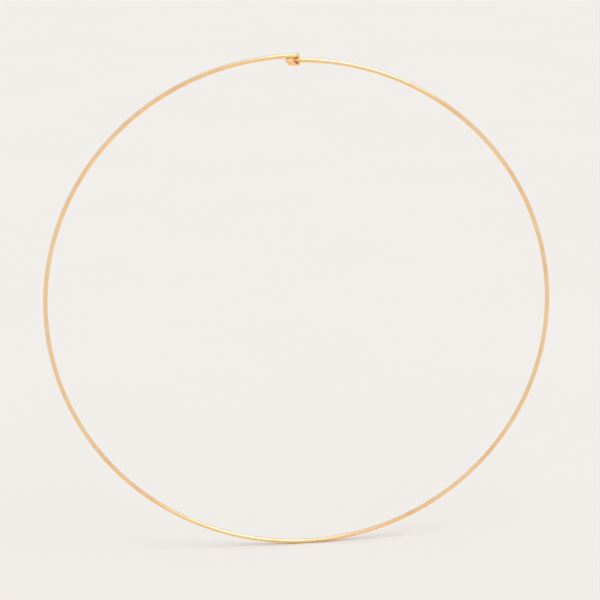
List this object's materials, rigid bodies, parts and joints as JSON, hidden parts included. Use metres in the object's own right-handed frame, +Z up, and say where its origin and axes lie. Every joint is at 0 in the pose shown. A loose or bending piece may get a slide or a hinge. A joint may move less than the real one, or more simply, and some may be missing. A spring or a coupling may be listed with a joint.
{
  "type": "wire wreath frame",
  "caption": "Springy ring of thin gold-coloured round wire, closed at its top by a wound eye round the plain other end, as a bare hoop for a wreath.",
  "frame": {"origin": "centre of the ring", "axes": "+Z up through the catch, with the foot at -Z; +Y along the ring's axis, away from the front; +X to the right, seen from the front"},
  "size_m": [0.1401, 0.0035, 0.1414],
  "materials": {
    "gold_wire": "polished gold plate on drawn round wire"
  },
  "bodies": {
    "foot": {"foot_arc": "gold_wire"},
    "left": {"left_arm": "gold_wire", "eye": "gold_wire"},
    "right": {"right_arm": "gold_wire", "plain_end": "gold_wire"}
  },
  "joints": [
    {"name": "right_flex", "type": "hinge", "parent": "foot", "child": "right", "pos_m": [0.05734, 0, -0.04015], "axis": [0, 1, 0], "range_deg": [0, 15], "stiffness_Nm_per_rad": 0.09, "springref_deg": -1.15},
    {"name": "left_flex", "type": "hinge", "parent": "foot", "child": "left", "pos_m": [-0.05734, 0, -0.04015], "axis": [0, -1, 0], "range_deg": [0, 15], "stiffness_Nm_per_rad": 0.09, "springref_deg": -1.15}
  ],
  "couplings": [
    {"joint": "left_flex", "follows": "right_flex", "ratio": 1}
  ]
}
